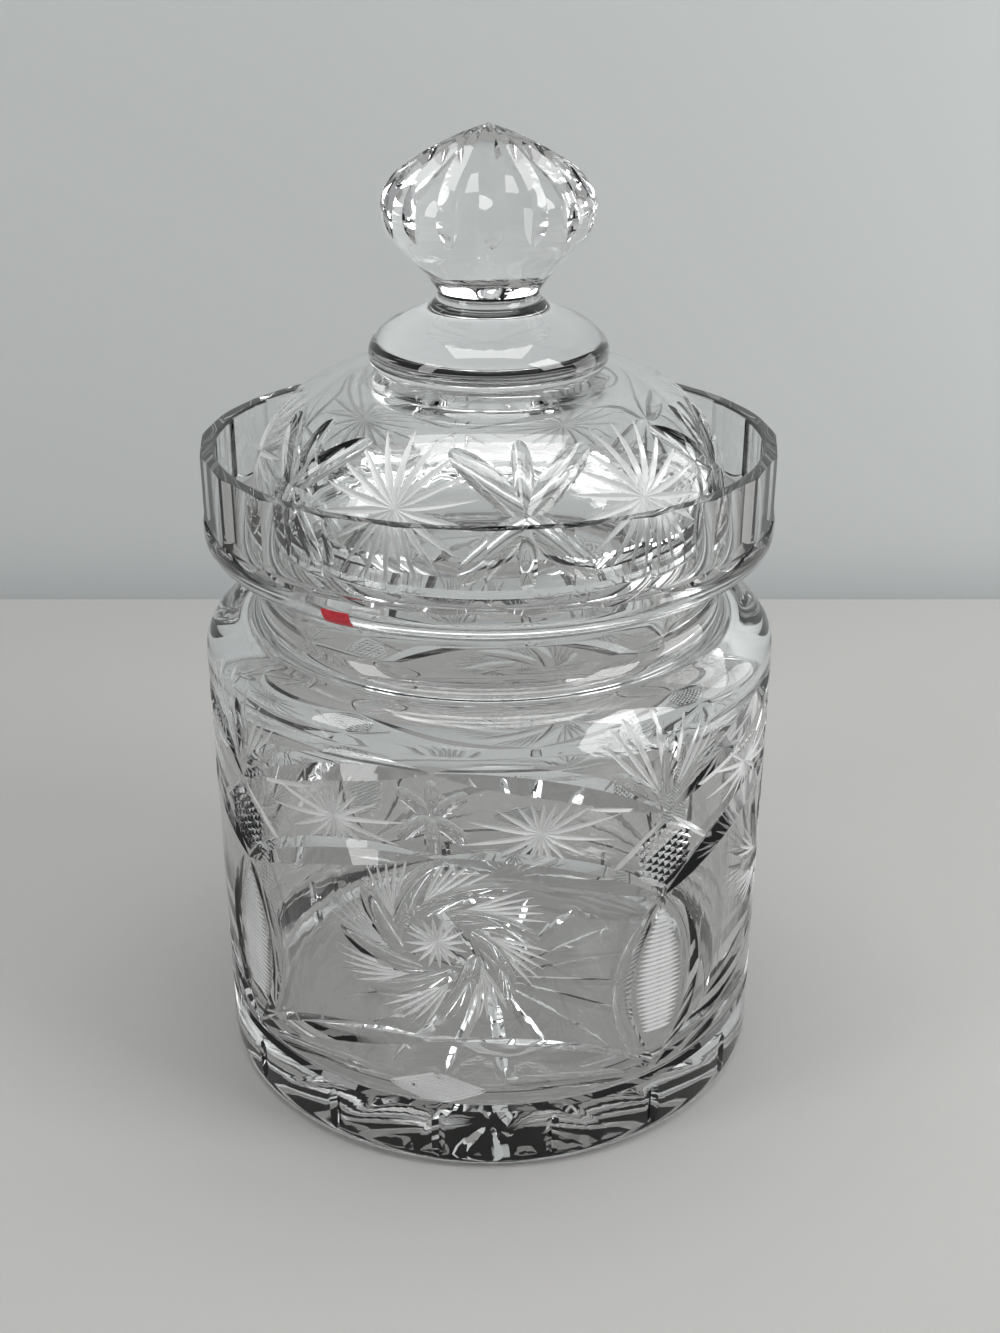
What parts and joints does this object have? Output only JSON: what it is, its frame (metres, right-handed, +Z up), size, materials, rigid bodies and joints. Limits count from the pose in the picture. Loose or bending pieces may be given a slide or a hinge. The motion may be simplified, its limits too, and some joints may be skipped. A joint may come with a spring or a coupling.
{
  "type": "biscuit jar",
  "caption": "Round cut-crystal biscuit jar with a flared panelled collar and a lift-off domed lid with a fluted knob.",
  "frame": {"origin": "centre of the flat underside of the jar, on the surface that it stands on", "axes": "+Z up along the jar's axis of revolution, -Y towards the viewer, +X to the viewer's right"},
  "size_m": [0.14, 0.14, 0.2323],
  "materials": {
    "jar_crystal": "polished clear lead crystal, with wheel-cut ornament",
    "lid_crystal": "polished clear lead crystal, with wheel-cut ornament",
    "label_red": "blank red film"
  },
  "bodies": {
    "jar_body": {"jar": "jar_crystal", "label": "label_red"},
    "lid_body": {"lid": "lid_crystal"}
  },
  "joints": [
    {"name": "lid_lift", "type": "slide", "parent": "jar_body", "child": "lid_body", "axis": [0, 0, 1], "range_m": [0, 0.1]}
  ]
}
